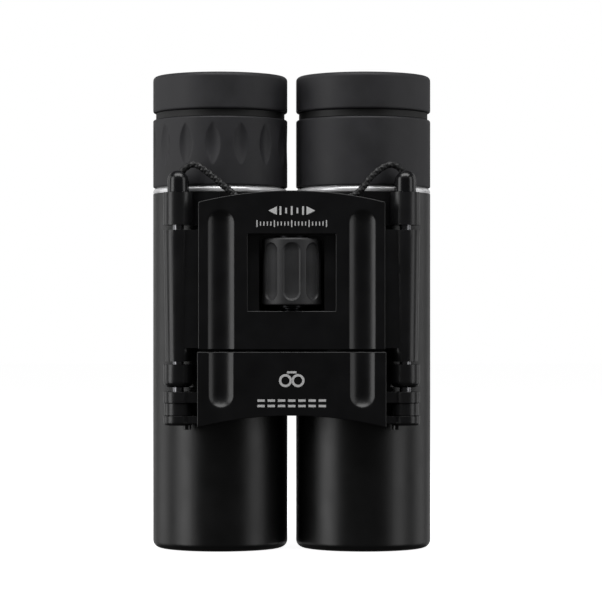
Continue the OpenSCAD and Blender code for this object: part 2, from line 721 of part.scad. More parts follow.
// One ring of the tube at point i, square to the route there
function along(p, i) = let(d = p[min(i + 1, len(p) - 1)] - p[max(i - 1, 0)]) d / norm(d);
function ring_at(p, i, r, n) =
    let(t = along(p, i), u = cross(t, abs(t[1]) < 0.8 ? [0, 1, 0] : [0, 0, 1]), v = u / norm(u),
        w = cross(t, v))
    [for (k = [0:n - 1]) p[i] + r * (cos(360 * k / n) * v + sin(360 * k / n) * w)];
// Points of a smooth curve through the route (Catmull-Rom)
function smooth(p, steps) = [for (i = [0:len(p) - 2], k = [0:steps - 1])
    let(a = p[max(i - 1, 0)], b = p[i], c = p[i + 1], d = p[min(i + 2, len(p) - 1)], t = k / steps)
    0.5 * (2 * b + (c - a) * t + (2 * a - 5 * b + 4 * c - d) * t * t
           + (3 * b - 3 * c + d - a) * t * t * t)];
module cord_tube(route) {
    p = concat(smooth(route, 2), [route[len(route) - 1]]);
    n = 8;
    m = len(p);
    polyhedron(
        points = [for (i = [0:m - 1]) each ring_at(p, i, cord_r, n)],
        faces = concat(
            [[for (k = [0:n - 1]) k]],
            [for (i = [0:m - 2], k = [0:n - 1])
                [i * n + k, (i + 1) * n + k, (i + 1) * n + (k + 1) % n, i * n + (k + 1) % n]],
            [[for (k = [n - 1:-1:0]) (m - 1) * n + k]]));
}
module left_cord() color("#131313") placed() cord_tube(left_route);
module right_cord() color("#131313") placed() cord_tube(right_route);
module cord_coil()
    color("#131313") placed() translate(coil_at) rotate_extrude()
        translate([coil_mid_r - coil_w / 2, 0]) square([coil_w, coil_h]);
// A flat band over the coil's turns, on the side away from the barrels
module coil_tie()
    color("#242426") placed() translate(coil_at)
        translate([-tie_w / 2, coil_mid_r, 0]) rotate([90, 0, 90]) linear_extrude(tie_w)
            difference() {
                translate([-coil_w / 2 - tie_t - 0.3, 0])
                    square([coil_w + 2 * tie_t + 0.6, coil_h + tie_t]);
                translate([-coil_w / 2 - 0.3, -1]) square([coil_w + 0.6, coil_h + 1]);
            }

bridge_cover();
bridge_frame();
cover_screws();
focus_bush();
thrust_washer();
focus_wheel();
wheel_hub();
focus_screw();
focus_nut();
low_cover();
low_frame();
low_screws();
hinge_pin(left);  // left_hinge_pin
strap_cap(left);  // left_strap_cap
barrel_tube(left);  // left_barrel_tube
hinge_bracket(left);  // left_hinge_bracket
trim_ring(left);  // left_trim_ring
prism_cage(left);  // left_prism_cage
lower_prism(left);  // left_lower_prism
roof_prism(left);  // left_roof_prism
ocular_body(left);  // left_ocular_body
dioptre_ring();
ocular_cell(left);  // left_ocular_cell
field_lens(left);  // left_field_lens
eye_lens(left);  // left_eye_lens
eyecup(left);  // left_eyecup
eyecup_sleeve(left);  // left_eyecup_sleeve
objective_cell(left);  // left_objective_cell
objective_lens(left);  // left_objective_lens
objective_retainer(left);  // left_objective_retainer
focus_arm(left);  // left_focus_arm
hinge_pin(right);  // right_hinge_pin
strap_cap(right);  // right_strap_cap
barrel_tube(right);  // right_barrel_tube
hinge_bracket(right);  // right_hinge_bracket
trim_ring(right);  // right_trim_ring
prism_cage(right);  // right_prism_cage
lower_prism(right);  // right_lower_prism
roof_prism(right);  // right_roof_prism
ocular_body(right);  // right_ocular_body
eyepiece_ring();
ocular_cell(right);  // right_ocular_cell
field_lens(right);  // right_field_lens
eye_lens(right);  // right_eye_lens
eyecup(right);  // right_eyecup
eyecup_sleeve(right);  // right_eyecup_sleeve
objective_cell(right);  // right_objective_cell
objective_lens(right);  // right_objective_lens
objective_retainer(right);  // right_objective_retainer
focus_arm(right);  // right_focus_arm
left_cord();
right_cord();
cord_coil();
coil_tie();
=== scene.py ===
# %% [markdown]
# # Folding compact binoculars
# Two roof-prism barrels hang on a bridge by two rows of knuckles. A wheel in the bridge's
# window moves the lower cover and, through it, both objectives. This notebook dresses the
# packed mechanical model: it loads the frame, then makes each visible piece as a surface
# worked out with numpy, and gives every piece a finish.

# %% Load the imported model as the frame
import math

import bmesh
import bpy
import numpy as np
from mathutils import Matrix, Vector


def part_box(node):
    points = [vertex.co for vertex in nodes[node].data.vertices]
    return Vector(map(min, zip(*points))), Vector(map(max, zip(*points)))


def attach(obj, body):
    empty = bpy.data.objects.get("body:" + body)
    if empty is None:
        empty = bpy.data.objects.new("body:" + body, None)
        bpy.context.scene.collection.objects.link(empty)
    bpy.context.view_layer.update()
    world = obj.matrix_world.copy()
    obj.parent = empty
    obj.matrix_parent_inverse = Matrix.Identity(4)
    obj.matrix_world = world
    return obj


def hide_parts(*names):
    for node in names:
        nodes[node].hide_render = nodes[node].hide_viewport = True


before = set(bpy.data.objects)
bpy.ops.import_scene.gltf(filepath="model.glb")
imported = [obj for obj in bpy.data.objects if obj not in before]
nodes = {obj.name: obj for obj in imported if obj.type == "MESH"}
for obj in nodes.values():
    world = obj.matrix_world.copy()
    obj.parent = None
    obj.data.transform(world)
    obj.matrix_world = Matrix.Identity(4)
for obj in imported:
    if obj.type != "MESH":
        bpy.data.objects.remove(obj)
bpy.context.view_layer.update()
MM = 0.001
SIDES = {"left": -1, "right": 1}


# %% [markdown]
# Places come from the frame. Everything below is worked out in millimetres, and becomes
# metres only when a mesh is made.

# %% Read the sizes off the frame
def low(node):
    """Lowest corner of a node, in mm."""
    return np.array(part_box(node)[0]) / MM


def high(node):
    """Highest corner of a node, in mm."""
    return np.array(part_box(node)[1]) / MM


def middle(node):
    """Middle of a node's box, in mm."""
    return (low(node) + high(node)) / 2


axis_of = {side: middle(f"{side}_trim_ring")[:2] for side in SIDES}
hinge_of = {side: middle(f"{side}_hinge_pin")[:2] for side in SIDES}
barrel_y = axis_of["left"][1]
barrel_r = (high("left_trim_ring") - low("left_trim_ring"))[0] / 2
tube_top = high("left_barrel_tube")[2]
face_y = low("bridge_cover")[1]
wheel_axis = middle("focus_wheel")[:2]
print(f"barrels {2 * barrel_r:.1f} mm across, {-2 * axis_of['left'][0]:.1f} mm apart")

# %% [markdown]
# ## Camera and light
# The glasses are seen square on, from a little above their middle, with a long lens, so
# that the two barrels stay parallel. The eye is level and the picture is shifted, so that
# uprights stay upright.

# %% Camera
EYE_DISTANCE = 627  # from the barrels' axes
EYE_HEIGHT = 52.9
PICTURE_WIDTH_THERE = 143.76  # what the picture's width spans at the barrels
SENSOR = 36

camera_data = bpy.data.cameras.new("camera")
camera_data.sensor_width = SENSOR
camera_data.lens = SENSOR * EYE_DISTANCE / PICTURE_WIDTH_THERE
camera_data.shift_x = 0.0154
camera_data.shift_y = 0.0432
camera_data.clip_start, camera_data.clip_end = 0.01, 20
camera = bpy.data.objects.new("camera", camera_data)
camera.location = (0, (barrel_y - EYE_DISTANCE) * MM, EYE_HEIGHT * MM)
camera.rotation_euler = (math.radians(90), 0, 0)
bpy.context.scene.collection.objects.link(camera)
bpy.context.scene.camera = camera


# %% [markdown]
# A black object shows its form only through what it mirrors. Two tall soft boxes stand at
# the sides, about sixty degrees off, and each draws a soft band along every round part.
# Four weaker ones stand beside and behind and draw the outlines, and one above the eye
# lights the edges that face up. What stands in front stays dark, so the flat covers stay
# black: the world is white to the eye but dim to the object, and the floor glows white
# and lights nothing.

# %% Soft boxes
BOX_DISTANCE = 0.42
BOX_AZIMUTH = 63


def soft_box(name, azimuth, elevation, distance, size, watts):
    """An area light on a sphere about the object, azimuth counted from the eye towards
    +X and elevation from the horizon, in degrees. It faces the object's middle."""
    data = bpy.data.lights.new(name, "AREA")
    data.shape = "RECTANGLE"
    data.size, data.size_y = size
    data.energy = watts
    lamp = bpy.data.objects.new(name, data)
    a, e = math.radians(azimuth), math.radians(elevation)
    lamp.location = (distance * math.cos(e) * math.sin(a), -distance * math.cos(e) * math.cos(a),
                     0.06 + distance * math.sin(e))
    lamp.rotation_euler = (math.radians(90 - elevation), 0, a)
    lamp.visible_camera = False
    bpy.context.scene.collection.objects.link(lamp)
    print(f"{name}: {watts} W at {azimuth} degrees")


soft_box("box_left", -BOX_AZIMUTH, 4, BOX_DISTANCE, (0.2, 0.5), 0.9)
soft_box("box_right", BOX_AZIMUTH, 4, BOX_DISTANCE, (0.18, 0.5), 0.45)
soft_box("box_top", 0, 68, 0.5, (0.6, 0.25), 2.2)
soft_box("side_left", -110, 4, 0.45, (0.22, 0.5), 0.42)
soft_box("side_right", 110, 4, 0.45, (0.22, 0.5), 0.32)
soft_box("rim_left", -150, 4, 0.5, (0.22, 0.5), 0.16)
soft_box("rim_right", 150, 4, 0.5, (0.22, 0.5), 0.14)

# %% World
WORLD_LIGHT = 0.05  # what the object gets of the white that the eye sees
world = bpy.data.worlds.new("world")
bpy.context.scene.world = world
world.use_nodes = True
world_tree = world.node_tree
background = world_tree.nodes["Background"]
background.inputs["Color"].default_value = (1, 1, 1, 1)
ray = world_tree.nodes.new("ShaderNodeLightPath")
strength = world_tree.nodes.new("ShaderNodeMapRange")
strength.inputs["To Min"].default_value = WORLD_LIGHT
strength.inputs["To Max"].default_value = 1.0
world_tree.links.new(ray.outputs["Is Camera Ray"], strength.inputs["Value"])
world_tree.links.new(strength.outputs["Result"], background.inputs["Strength"])
bpy.context.scene.view_settings.view_transform = "Standard"

# %% Floor
bpy.ops.mesh.primitive_plane_add(size=6, location=(0, 0, -0.0002))
floor = bpy.context.object
floor.name = "floor"
floor.visible_glossy = False
floor.visible_diffuse = False


# %% [markdown]
# ## Finishes
# Each finish is a small node tree on Object coordinates, so that a pattern stays on its
# piece in every pose. Noise at two sizes makes a surface look moulded: a broad one
# changes the colour and the gloss a little, and a fine one is the grain in the bump.

# %% Helpers for node trees
def new_material(name):
    """A material with an empty tree but for the surface shader and the output."""
    material = bpy.data.materials.new(name)
    material.use_nodes = True
    tree = material.node_tree
    tree.nodes.clear()
    shader = tree.nodes.new("ShaderNodeBsdfPrincipled")
    output = tree.nodes.new("ShaderNodeOutputMaterial")
    tree.links.new(shader.outputs["BSDF"], output.inputs["Surface"])
    return material, tree, shader


def noise(tree, size_mm, detail=2.0, stretch=(1, 1, 1)):
    """Noise on Object coordinates whose blobs are about size_mm across."""
    where = tree.nodes.new("ShaderNodeTexCoord")
    mapping = tree.nodes.new("ShaderNodeMapping")
    mapping.inputs["Scale"].default_value = stretch
    pattern = tree.nodes.new("ShaderNodeTexNoise")
    pattern.inputs["Scale"].default_value = 1 / (size_mm * MM)
    pattern.inputs["Detail"].default_value = detail
    tree.links.new(where.outputs["Object"], mapping.inputs["Vector"])
    tree.links.new(mapping.outputs["Vector"], pattern.inputs["Vector"])
    return pattern.outputs["Fac"]


def between(tree, value, start, end):
    """A value from 0.3 to 0.7 mapped to start to end."""
    node = tree.nodes.new("ShaderNodeMapRange")
    node.inputs["From Min"].default_value = 0.3
    node.inputs["From Max"].default_value = 0.7
    node.inputs["To Min"].default_value = start
    node.inputs["To Max"].default_value = end
    tree.links.new(value, node.inputs["Value"])
    return node.outputs["Result"]


def tint(tree, value, dark, light):
    """A colour between dark and light."""
    ramp = tree.nodes.new("ShaderNodeValToRGB")
    ramp.color_ramp.elements[0].position = 0.3
    ramp.color_ramp.elements[1].position = 0.7
    ramp.color_ramp.elements[0].color = (*dark, 1)
    ramp.color_ramp.elements[1].color = (*light, 1)
    tree.links.new(value, ramp.inputs["Fac"])
    return ramp.outputs["Color"]


def bump(tree, shader, value, depth_mm, strength=1.0):
    """A bump of that depth from a value."""
    node = tree.nodes.new("ShaderNodeBump")
    node.inputs["Strength"].default_value = strength
    node.inputs["Distance"].default_value = depth_mm * MM
    tree.links.new(value, node.inputs["Height"])
    tree.links.new(node.outputs["Normal"], shader.inputs["Normal"])


# %% Moulded plastic, rubber and coats
def moulded(name, colour, roughness, grain_mm, grain_depth, vary=0.25, patch_mm=6):
    """An opaque moulded or coated finish: mottled a little, with a fine grain."""
    material, tree, shader = new_material(name)
    colour = np.array(colour)
    patches = noise(tree, patch_mm, 3)
    tree.links.new(tint(tree, patches, colour * (1 - vary), colour * (1 + vary)),
                   shader.inputs["Base Color"])
    tree.links.new(between(tree, patches, roughness * 0.92, roughness * 1.08),
                   shader.inputs["Roughness"])
    bump(tree, shader, noise(tree, grain_mm, 2), grain_depth)
    return material


cover_plastic = moulded("cover_plastic", (0.004, 0.004, 0.0046), 0.34, 0.25, 0.003)
frame_plastic = moulded("frame_plastic", (0.009, 0.009, 0.0098), 0.32, 0.3, 0.004)
barrel_coat = moulded("barrel_coat", (0.005, 0.005, 0.0052), 0.38, 0.12, 0.004)
bracket_coat = moulded("bracket_coat", (0.009, 0.009, 0.0098), 0.32, 0.2, 0.003)
grip_rubber = moulded("grip_rubber", (0.0225, 0.0222, 0.025), 0.6, 0.16, 0.01)
wheel_rubber = moulded("wheel_rubber", (0.03, 0.03, 0.0315), 0.5, 0.14, 0.01)
cap_coat = moulded("cap_coat", (0.006, 0.006, 0.007), 0.25, 0.3, 0.003)
cell_black = moulded("cell_black", (0.003, 0.003, 0.003), 0.6, 0.2, 0.01)
floor_paint = moulded("floor_paint", (0.8, 0.8, 0.8), 0.6, 2.0, 0.0, 0.01, 80)
print_ink = moulded("print_ink", (0.7, 0.7, 0.7), 0.5, 0.1, 0.002, 0.05, 1)
glow = floor_paint.node_tree.nodes["Principled BSDF"]
glow.inputs["Emission Color"].default_value = (1, 1, 1, 1)
glow.inputs["Emission Strength"].default_value = 0.95
floor.data.materials.append(floor_paint)


# %% Metals
def metal(name, colour, roughness, streak_mm, stretch, metallic=1.0):
    """A turned or ground metal: streaks in the gloss and in a fine bump. With metallic
    under 1 it scatters part of the light, so that it stays bright in a dim room: its light
    base colour is then a painted reflection."""
    material, tree, shader = new_material(name)
    shader.inputs["Metallic"].default_value = metallic
    shader.inputs["Base Color"].default_value = (*colour, 1)
    streaks = noise(tree, streak_mm, 3, stretch)
    tree.links.new(between(tree, streaks, roughness * 0.7, roughness * 1.3),
                   shader.inputs["Roughness"])
    bump(tree, shader, streaks, 0.002)
    return material


# The chrome's near-white base colour at metallic 0.25 is a painted reflection that keeps the ring
# bright.
trim_chrome = metal("trim_chrome", (0.93, 0.93, 0.94), 0.22, 1.5, (1, 1, 6), 0.25)
black_steel = metal("black_steel", (0.03, 0.03, 0.032), 0.4, 0.8, (1, 1, 8))
pin_steel = metal("pin_steel", (0.2, 0.2, 0.21), 0.28, 0.8, (1, 1, 8))
bearing_brass = metal("bearing_brass", (0.5, 0.36, 0.17), 0.3, 0.8, (1, 1, 8))
retainer_black = moulded("retainer_black", (0.008, 0.008, 0.009), 0.3, 0.3, 0.004)


# %% Glass
def coated_glass(name, colour, roughness=0.01):
    """Clear glass with the tint that its anti-reflection coating gives it."""
    material, tree, shader = new_material(name)
    shader.inputs["Transmission Weight"].default_value = 1.0
    shader.inputs["IOR"].default_value = 1.52
    shader.inputs["Coat Weight"].default_value = 0.6
    shader.inputs["Coat Roughness"].default_value = 0.02
    shader.inputs["Coat Tint"].default_value = (*colour, 1)
    depth = noise(tree, 9, 1)
    tree.links.new(tint(tree, depth, np.array(colour) * 0.9, colour), shader.inputs["Base Color"])
    tree.links.new(between(tree, depth, roughness, roughness * 2), shader.inputs["Roughness"])
    return material


prism_glass = coated_glass("prism_glass", (0.85, 0.92, 0.93))
lens_glass = coated_glass("lens_glass", (0.62, 0.75, 0.95))
objective_glass = coated_glass("objective_glass", (0.62, 0.36, 0.62))


# %% [markdown]
# ## Surfaces
# Most pieces of an optical instrument are turned, so most shapes here are an outline
# carried round an axis. A corner gets a small curve, because an edge with no radius
# catches no light.

# %% Outlines
def rounded(corners, steps=5):
    """A closed outline from (r, z, size of the round) corners. Each corner is replaced by
    the curve (1-t)^2 a + 2t(1-t) corner + t^2 b between points a and b on its two sides."""
    corners = np.array(corners, float)
    at, size = corners[:, :2], corners[:, 2:]
    before, after = np.roll(at, 1, 0) - at, np.roll(at, -1, 0) - at
    reach = [np.minimum(size, 0.49 * np.linalg.norm(e, axis=1, keepdims=True))
             * e / np.linalg.norm(e, axis=1, keepdims=True) for e in (before, after)]
    points = []
    for i in range(len(at)):
        if size[i, 0] == 0:
            points.append(at[i][None])
            continue
        t = np.linspace(0, 1, steps)[:, None]
        a, b = at[i] + reach[0][i], at[i] + reach[1][i]
        points.append((1 - t) ** 2 * a + 2 * t * (1 - t) * at[i] + t ** 2 * b)
    return np.concatenate(points)


def counter_clockwise(outline):
    """The outline, turned round if its area is negative."""
    x, y = outline.T
    area = np.sum(x * np.roll(y, -1) - y * np.roll(x, -1))
    return outline if area > 0 else outline[::-1]


# %% Meshes from grids
def grid_quads(rows, columns, wrap_rows=True, wrap_columns=True):
    """Quads (i, j), (i+1, j), (i+1, j+1), (i, j+1) of a grid whose edges may be joined."""
    i = np.arange(rows if wrap_rows else rows - 1)[:, None]
    j = np.arange(columns if wrap_columns else columns - 1)[None]
    i2, j2 = (i + 1) % rows, (j + 1) % columns
    quads = [i * columns + j, i2 * columns + j, i2 * columns + j2, i * columns + j2]
    return np.stack([q.ravel() for q in quads], axis=1)


def add_piece(name, points, faces, body, material, sharp=38, merge=False):
    """A mesh object from points in mm and faces, which rides on a body. Its sharp edges
    are found by angle, and large faces keep flat shading beside their rounds."""
    mesh = bpy.data.meshes.new(name)
    mesh.from_pydata((np.asarray(points).reshape(-1, 3) * MM).tolist(), [],
                     [list(f) for f in faces])
    if merge:
        shape = bmesh.new()
        shape.from_mesh(mesh)
        bmesh.ops.remove_doubles(shape, verts=shape.verts, dist=1e-7)
        bmesh.ops.dissolve_degenerate(shape, edges=shape.edges, dist=1e-7)
        shape.to_mesh(mesh)
        shape.free()
    piece = bpy.data.objects.new(name, mesh)
    bpy.context.scene.collection.objects.link(piece)
    return finish_piece(piece, body, material, sharp)


def finish_piece(piece, body, material, sharp=38):
    """Smooth shading up to an angle, weighted normals, one material, one body."""
    piece.data.shade_smooth()
    piece.data.set_sharp_from_angle(angle=math.radians(sharp))
    normals = piece.modifiers.new("normals", "WEIGHTED_NORMAL")
    normals.keep_sharp = True
    piece.data.materials.clear()
    piece.data.materials.append(material)
    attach(piece, body)
    return piece


def turned(name, outline, centre, body, material, segments=144, merge=False):
    """A surface of revolution: (r, z) of a closed outline carried round an upright axis,
    x = cx + r cos a, y = cy + r sin a."""
    outline = counter_clockwise(np.asarray(outline, float))
    angle = np.linspace(0, 2 * np.pi, segments, endpoint=False)[:, None]
    r, z = outline[:, 0][None], outline[:, 1][None]
    points = np.stack([centre[0] + r * np.cos(angle), centre[1] + r * np.sin(angle),
                       z + 0 * angle], axis=-1)
    return add_piece(name, points, grid_quads(segments, len(outline)), body, material,
                     merge=merge)


def dressed(node, body, material, edge_mm):
    """A copy of a CAD node's mesh with its flats made whole and its edges rounded."""
    mesh = nodes[node].data.copy()
    shape = bmesh.new()
    shape.from_mesh(mesh)
    bmesh.ops.remove_doubles(shape, verts=shape.verts, dist=1e-7)
    bmesh.ops.dissolve_limit(shape, angle_limit=math.radians(1), verts=shape.verts,
                             edges=shape.edges)
    shape.to_mesh(mesh)
    shape.free()
    piece = bpy.data.objects.new(f"{node}_body", mesh)
    bpy.context.scene.collection.objects.link(piece)
    round_edges = piece.modifiers.new("edges", "BEVEL")
    round_edges.width = edge_mm * MM
    round_edges.segments = 3
    round_edges.limit_method = "ANGLE"
    round_edges.angle_limit = math.radians(40)
    finish_piece(piece, body, material)
    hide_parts(node)


# %% [markdown]
# ## Neck cord
# A round braided cord, a little under a metre long, held at both ends in the strap caps.
# It dips behind the upper cover, goes back between the barrels, hangs behind the right
# barrel and lies coiled on the floor there. The route repeats the frame's own points.

# %% The cord's route
CORD_D = 1.6
LEFT_ROUTE = [
    [-26.4, -17.3, 87.6], [-25.4, -17.5, 88.6], [-24, -17.9, 89.8], [-22.4, -18.2, 90.1],
    [-20.4, -18.5, 89], [-17.4, -18.8, 86.6], [-14, -19, 83.7], [-10.6, -19, 81.2],
    [-7, -18.8, 79.8], [-4, -17.8, 79.4], [-1.8, -15.8, 79.4], [-0.4, -12.8, 79.4],
    [0, -9, 79.4], [0, 0, 79.4], [0.2, 5, 79.3], [1, 8.4, 78.6], [2.2, 10.6, 76.6],
    [3, 11.6, 73.6], [3.4, 11.9, 69], [3.4, 11.9, 50], [3.4, 11.9, 28], [3.4, 11.9, 9],
    [3.6, 12.6, 5], [4.2, 14.8, 2], [5.2, 18, 0.8], [5.8, 22, 0.8], [5.9, 26, 0.8]]
RIGHT_ROUTE = [
    [26.4, -17.3, 87.6], [25.8, -17.2, 88.6], [24.6, -17.3, 89.7], [22.8, -17.7, 90.1],
    [20.4, -18.1, 89], [18, -18.6, 86.8], [16.2, -18.9, 84.4], [13.4, -19.1, 82.4],
    [10, -19, 81.6], [7, -18.8, 81.4], [4, -17.8, 81.4], [1.8, -15.8, 81.4], [0.4, -12.8, 81.4],
    [0, -9, 81.4], [0, 0, 81.4], [0.2, 6, 81.3], [1.2, 9.8, 80.6], [3, 12.4, 78.4],
    [4.6, 13.6, 75], [5.2, 13.9, 70], [5.2, 13.9, 50], [5.2, 13.9, 28], [5.2, 13.9, 16],
    [5.3, 14.4, 11.6], [6, 16.4, 8.2], [8, 18.9, 6.4], [11.4, 20.2, 5.7], [15, 20.5, 5.6]]
COIL_AT = (17, 31.5)
COIL_MID_R = 9.4
COIL_TURNS = 10.75


def step(t, start, end):
    """0 before start, 1 after end, and a smooth rise between."""
    x = np.clip((t - start) / (end - start), 0, 1)
    return x * x * (3 - 2 * x)


def coil_points():
    """The coil's turns: three turns across in each of four layers. The radius steps in,
    out, in and out by one cord as the layers rise, and each step and each climb comes
    before the turn below has moved, so that no two turns meet."""
    t = np.linspace(0.06, COIL_TURNS - 0.04, int(COIL_TURNS * 40))
    inwards, outwards = (0.8, 1.8, 6.4, 7.4), (3.6, 4.6, 9.2, 10.2)
    radius = COIL_MID_R + CORD_D
    radius = radius - CORD_D * sum(step(t, s, s + 0.2) for s in inwards)
    radius = radius + CORD_D * sum(step(t, s, s + 0.2) for s in outwards)
    height = CORD_D / 2 + CORD_D * sum(step(t, s, s + 0.2) for s in (2.6, 5.4, 8.2))
    angle = np.pi - 2 * np.pi * t
    return np.stack([COIL_AT[0] + radius * np.cos(angle), COIL_AT[1] + radius * np.sin(angle),
                     height], axis=1)


def smooth_route(points, spacing):
    """Catmull-Rom curve through the points, then evenly spaced along its length."""
    p = np.array(points, float)
    p = np.concatenate([2 * p[:1] - p[1:2], p, 2 * p[-1:] - p[-2:-1]])
    t = np.linspace(0, 1, 12, endpoint=False)[None, :, None]
    a, b, c, d = (p[k:len(p) - 3 + k, None] for k in range(4))
    curve = 0.5 * (2 * b + (c - a) * t + (2 * a - 5 * b + 4 * c - d) * t ** 2
                   + (3 * b - 3 * c + d - a) * t ** 3)
    curve = np.concatenate([curve.reshape(-1, 3), p[-2:-1]])
    along = np.concatenate([[0], np.cumsum(np.linalg.norm(np.diff(curve, axis=0), axis=1))])
    s = np.linspace(0, along[-1], int(along[-1] / spacing) + 1)
    return np.stack([np.interp(s, along, curve[:, k]) for k in range(3)], axis=1)


def spaced(points, fine, coarse, end):
    """The route's curve at uneven steps: fine ones over the last mm at either end, where
    the braid is in the mesh, and coarse ones between."""
    line = smooth_route(points, 0.1)
    length = np.linalg.norm(np.diff(line, axis=0), axis=1).sum()
    s = np.concatenate([np.arange(0, end, fine), np.arange(end, length - end, coarse),
                        np.arange(length - end, length, fine), [length]])
    t = np.linspace(0, length, len(line))
    return np.stack([np.interp(s, t, line[:, k]) for k in range(3)], axis=1), s


route = np.concatenate([LEFT_ROUTE, coil_points(), RIGHT_ROUTE[::-1]])
BRAIDED = 27  # mm at each end with the braid in the mesh
cord_line, cord_s = spaced(route, 0.14, 0.62, BRAIDED)
cord_line = cord_line + [0, barrel_y, 0]
print(f"neck cord {cord_s[-1]:.0f} mm")

# %% [markdown]
# The cord is a round braid: two sets of strands that wind against each other. Near the
# ends, where it is seen closely, the braid is in the mesh, and elsewhere in the bump. The
# cord is a tube whose frame is carried along the line without twisting.

# %% Sweep the cord
STRANDS = 4
BRAID_PITCH = 1.5  # mm along the cord
BRAID_DEPTH = 0.16


def carried_frames(line):
    """Two vectors square to a line at each point, carried along it: each is the last one
    with its part along the new direction taken away."""
    along = np.gradient(line, axis=0)
    along /= np.linalg.norm(along, axis=1, keepdims=True)
    side = np.empty_like(along)
    side[0] = np.cross(along[0], [0, 1, 0])
    for i in range(1, len(line)):
        side[i] = side[i - 1] - along[i] * (side[i - 1] @ along[i])
        side[i] /= np.linalg.norm(side[i])
    side[0] /= np.linalg.norm(side[0])
    return side, np.cross(along, side)


def braided(name, line, s, radius, sides, body, material):
    """A tube: line + r (side cos a + up sin a), r = radius - depth (1 - h), where h is the
    higher of cos^2(n a / 2 + pi s / p) and cos^2(n a / 2 - pi s / p), the two sets of
    strands. UV is the share around and the mm along."""
    side, up = carried_frames(line)
    angle = np.linspace(0, 2 * np.pi, sides, endpoint=False)
    ring = side[:, None] * np.cos(angle)[None, :, None] + up[:, None] * np.sin(angle)[None, :, None]
    turn, climb = STRANDS * angle[None] / 2, np.pi * s[:, None] / BRAID_PITCH
    strands = np.maximum(np.cos(turn + climb) ** 2, np.cos(turn - climb) ** 2)
    shown = 1 - step(np.minimum(s, s[-1] - s), BRAIDED - 3, BRAIDED - 0.5)[:, None]
    r = radius - BRAID_DEPTH * (1 - strands) * shown
    points = line[:, None] + r[..., None] * ring
    rows = len(line)
    faces = [tuple(q[::-1]) for q in grid_quads(rows, sides, False, True)]
    faces.append(tuple(range(sides))[::-1])
    faces.append(tuple(range((rows - 1) * sides, rows * sides)))
    piece = add_piece(name, points, faces, body, material)
    mesh = piece.data
    corner = np.empty(len(mesh.loops), int)
    mesh.loops.foreach_get("vertex_index", corner)
    around, along = (corner % sides) / sides, s[corner // sides]
    quads = np.arange(4 * (rows - 1) * sides).reshape(-1, 4)
    seam = np.ptp(around[quads], axis=1) > 0.5
    around[quads[seam]] = np.where(around[quads[seam]] < 0.5, around[quads[seam]] + 1,
                                   around[quads[seam]])
    uv = mesh.uv_layers.new(name="along")
    uv.data.foreach_set("uv", np.column_stack([around, along]).astype(np.float32).ravel())
    return piece


def braid_finish():
    """Black polyester: the same two sets of strands as in the mesh, as a bump and as a
    slightly lighter top on each strand, which is painted light, with painted shade in the
    grooves between the strands."""
    material, tree, shader = new_material("cord_braid")
    uv = tree.nodes.new("ShaderNodeUVMap")
    uv.uv_map = "along"
    sets = []
    for way in (1, -1):
        mapping = tree.nodes.new("ShaderNodeMapping")
        mapping.inputs["Scale"].default_value = (2 * math.pi * STRANDS / 10,
                                                 way * 2 * math.pi / BRAID_PITCH / 10, 0)
        strands = tree.nodes.new("ShaderNodeTexWave")
        strands.bands_direction = "DIAGONAL"
        strands.inputs["Scale"].default_value = 1
        strands.inputs["Phase Offset"].default_value = math.pi / 2
        tree.links.new(uv.outputs["UV"], mapping.inputs["Vector"])
        tree.links.new(mapping.outputs["Vector"], strands.inputs["Vector"])
        sets.append(strands.outputs["Fac"])
    higher = tree.nodes.new("ShaderNodeMath")
    higher.operation = "MAXIMUM"
    tree.links.new(sets[0], higher.inputs[0])
    tree.links.new(sets[1], higher.inputs[1])
    # Base colour from strand height: painted light on the strand tops, painted shade in the grooves
    # between them.
    tree.links.new(tint(tree, higher.outputs[0], (0.001, 0.001, 0.001), (0.009, 0.009, 0.0095)),
                   shader.inputs["Base Color"])
    tree.links.new(between(tree, noise(tree, 1.5, 2), 0.42, 0.58), shader.inputs["Roughness"])
    bump(tree, shader, higher.outputs[0], 0.06)
    return material


cord_braid = braid_finish()
tie_band = moulded("tie_band", (0.012, 0.012, 0.013), 0.7, 0.25, 0.03)
neck_cord = braided("neck_cord", cord_line, cord_s, CORD_D / 2, 32, "bridge", cord_braid)
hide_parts("left_cord", "right_cord", "cord_coil")
nodes["coil_tie"].data.materials.clear()
nodes["coil_tie"].data.materials.append(tie_band)

# %% [markdown]
# ## Turned parts
# Most parts of the barrels come off a lathe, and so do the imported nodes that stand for
# them. The rings that a turned node's corners lie on give back its outline exactly, so
# the outline is read from the frame, its corners get a small round, and it is carried
# round the barrel's axis again with many more steps.

# %% Read a turned node's outline
SAME_RING = 0.004  # corners closer than this are one


def outline_of(node, centre):
    """The closed outline of a turned node: the corners' (r, z), joined where the node's
    mesh has an edge between two rings, and walked once round."""
    mesh = nodes[node].data
    at = np.empty(3 * len(mesh.vertices))
    mesh.vertices.foreach_get("co", at)
    at = at.reshape(-1, 3) / MM
    rz = np.stack([np.hypot(at[:, 0] - centre[0], at[:, 1] - centre[1]), at[:, 2]], axis=1)
    rings, ring_of = np.unique(np.round(rz, 4), axis=0, return_inverse=True)
    near = np.abs(rings[:, None] - rings[None]).max(axis=2) < SAME_RING
    ring_of = np.argmax(near, axis=1)[ring_of.ravel()]
    edges = np.empty(2 * len(mesh.edges), int)
    mesh.edges.foreach_get("vertices", edges)
    pairs = np.unique(np.sort(ring_of[edges.reshape(-1, 2)], axis=1), axis=0)
    pairs = pairs[pairs[:, 0] != pairs[:, 1]]
    beside = {}
    for a, b in pairs.tolist():
        beside.setdefault(a, []).append(b)
        beside.setdefault(b, []).append(a)
    assert all(len(b) == 2 for b in beside.values()), f"{node} isn't a plain turned ring"
    walk = [pairs[0, 0], pairs[0, 1]]
    while True:
        onward = [n for n in beside[walk[-1]] if n != walk[-2]][0]
        if onward == walk[0]:
            return rings[walk]
        walk.append(onward)


